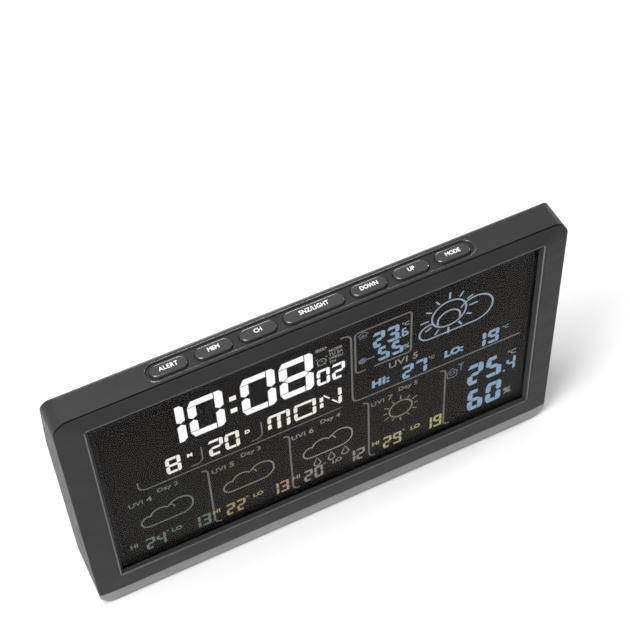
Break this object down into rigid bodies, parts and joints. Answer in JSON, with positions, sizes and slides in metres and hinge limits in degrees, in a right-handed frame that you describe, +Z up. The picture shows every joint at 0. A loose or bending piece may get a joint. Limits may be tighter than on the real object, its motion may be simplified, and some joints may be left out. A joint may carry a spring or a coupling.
{
  "type": "home weather station",
  "caption": "Upright desk weather console: wide display in a bevelled dark frame, a row of top keys, a silver base strip, rear keys, cell door and a fold-out foot.",
  "frame": {"origin": "on the table under the middle of the case", "axes": "+X to the right across the display, -Y out of the display towards the viewer, +Z up"},
  "size_m": [0.219, 0.028, 0.1352],
  "materials": {
    "case_plastic": "fine moulded texture, satin",
    "frame_plastic": "smooth satin",
    "key_plastic": "satin, soft edges, white legends",
    "silver_plastic": "satin silver-grey paint on the base strip",
    "window": "clear gloss with a black printed border",
    "display": "dark negative display",
    "guide": "clear acrylic, frosted",
    "white_sheet": "white reflector film",
    "holder_plastic": "white moulding",
    "board": "green solder mask",
    "chip": "black moulding",
    "tin": "tin plate",
    "copper": "bare copper",
    "brass_pin": "plated pin",
    "steel": "zinc plated",
    "cell_steel": "nickel plated can",
    "rubber": "soft black rubber",
    "ribbon": "amber film cable",
    "switch_black": "black moulding",
    "led_white": "white lamp body"
  },
  "bodies": {
    "case": {"front_frame": "frame_plastic", "display_window": "window", "rear_housing": "case_plastic", "base": "silver_plastic", "rubber_feet": "rubber", "ballast": "steel", "switch_cases": "switch_black", "key_board": "board", "display_glass": "display", "light_guide": "guide", "reflector": "white_sheet", "led_board": "board", "leds": "led_white", "display_holder": "holder_plastic", "display_ribbon": "ribbon", "key_ribbon": "ribbon", "main_board": "board", "chips": "chip", "radio_board": "board", "radio_shield": "tin", "antenna": "copper", "buzzer": "chip", "power_inlet": "chip", "inlet_pin": "brass_pin", "sensor_board": "board", "sensor_lead": "ribbon", "backup_cell": "cell_steel", "cell_contacts": "tin", "slide_cases": "tin", "leg_pins": "steel", "case_screws": "steel", "base_screws": "steel", "holder_screws": "steel", "board_screws": "steel"},
    "key_alert_body": {"key_alert": "key_plastic", "plunger_alert": "switch_black"},
    "key_mem_body": {"key_mem": "key_plastic", "plunger_mem": "switch_black"},
    "key_ch_body": {"key_ch": "key_plastic", "plunger_ch": "switch_black"},
    "key_snooze_body": {"key_snooze": "key_plastic", "plunger_snooze": "switch_black"},
    "key_down_body": {"key_down": "key_plastic", "plunger_down": "switch_black"},
    "key_up_body": {"key_up": "key_plastic", "plunger_up": "switch_black"},
    "key_mode_body": {"key_mode": "key_plastic", "plunger_mode": "switch_black"},
    "rear_sensor_body": {"rear_key_sensor": "key_plastic", "rear_plunger_sensor": "switch_black"},
    "rear_refresh_body": {"rear_key_refresh": "key_plastic", "rear_plunger_refresh": "switch_black"},
    "rear_reset_body": {"rear_key_reset": "key_plastic", "rear_plunger_reset": "switch_black"},
    "slide_unit_body": {"slide_unit": "key_plastic"},
    "slide_dimmer_body": {"slide_dimmer": "key_plastic"},
    "door": {"battery_door": "case_plastic"},
    "leg": {"stand_leg": "case_plastic", "leg_tip": "rubber"}
  },
  "joints": [
    {"name": "press_alert", "type": "slide", "parent": "case", "child": "key_alert_body", "axis": [0, 0, -1], "range_m": [0, 0.0005], "stiffness_N_per_m": 3000},
    {"name": "press_mem", "type": "slide", "parent": "case", "child": "key_mem_body", "axis": [0, 0, -1], "range_m": [0, 0.0005], "stiffness_N_per_m": 3000},
    {"name": "press_ch", "type": "slide", "parent": "case", "child": "key_ch_body", "axis": [0, 0, -1], "range_m": [0, 0.0005], "stiffness_N_per_m": 3000},
    {"name": "press_snooze", "type": "slide", "parent": "case", "child": "key_snooze_body", "axis": [0, 0, -1], "range_m": [0, 0.0005], "stiffness_N_per_m": 3000},
    {"name": "press_down", "type": "slide", "parent": "case", "child": "key_down_body", "axis": [0, 0, -1], "range_m": [0, 0.0005], "stiffness_N_per_m": 3000},
    {"name": "press_up", "type": "slide", "parent": "case", "child": "key_up_body", "axis": [0, 0, -1], "range_m": [0, 0.0005], "stiffness_N_per_m": 3000},
    {"name": "press_mode", "type": "slide", "parent": "case", "child": "key_mode_body", "axis": [0, 0, -1], "range_m": [0, 0.0005], "stiffness_N_per_m": 3000},
    {"name": "press_rear_sensor", "type": "slide", "parent": "case", "child": "rear_sensor_body", "axis": [0, -1, 0], "range_m": [0, 0.0005], "stiffness_N_per_m": 3000},
    {"name": "press_rear_refresh", "type": "slide", "parent": "case", "child": "rear_refresh_body", "axis": [0, -1, 0], "range_m": [0, 0.0005], "stiffness_N_per_m": 3000},
    {"name": "press_rear_reset", "type": "slide", "parent": "case", "child": "rear_reset_body", "axis": [0, -1, 0], "range_m": [0, 0.0005], "stiffness_N_per_m": 3000},
    {"name": "slide_unit_travel", "type": "slide", "parent": "case", "child": "slide_unit_body", "axis": [1, 0, 0], "range_m": [0, 0.004]},
    {"name": "slide_dimmer_travel", "type": "slide", "parent": "case", "child": "slide_dimmer_body", "axis": [1, 0, 0], "range_m": [0, 0.004]},
    {"name": "door_hinge", "type": "hinge", "parent": "case", "child": "door", "pos_m": [0, 0.014, 0.06], "axis": [-1, 0, 0], "range_deg": [0, 100]},
    {"name": "leg_hinge", "type": "hinge", "parent": "case", "child": "leg", "pos_m": [0, 0.012, 0.013], "axis": [-1, 0, 0], "range_deg": [0, 105]}
  ]
}
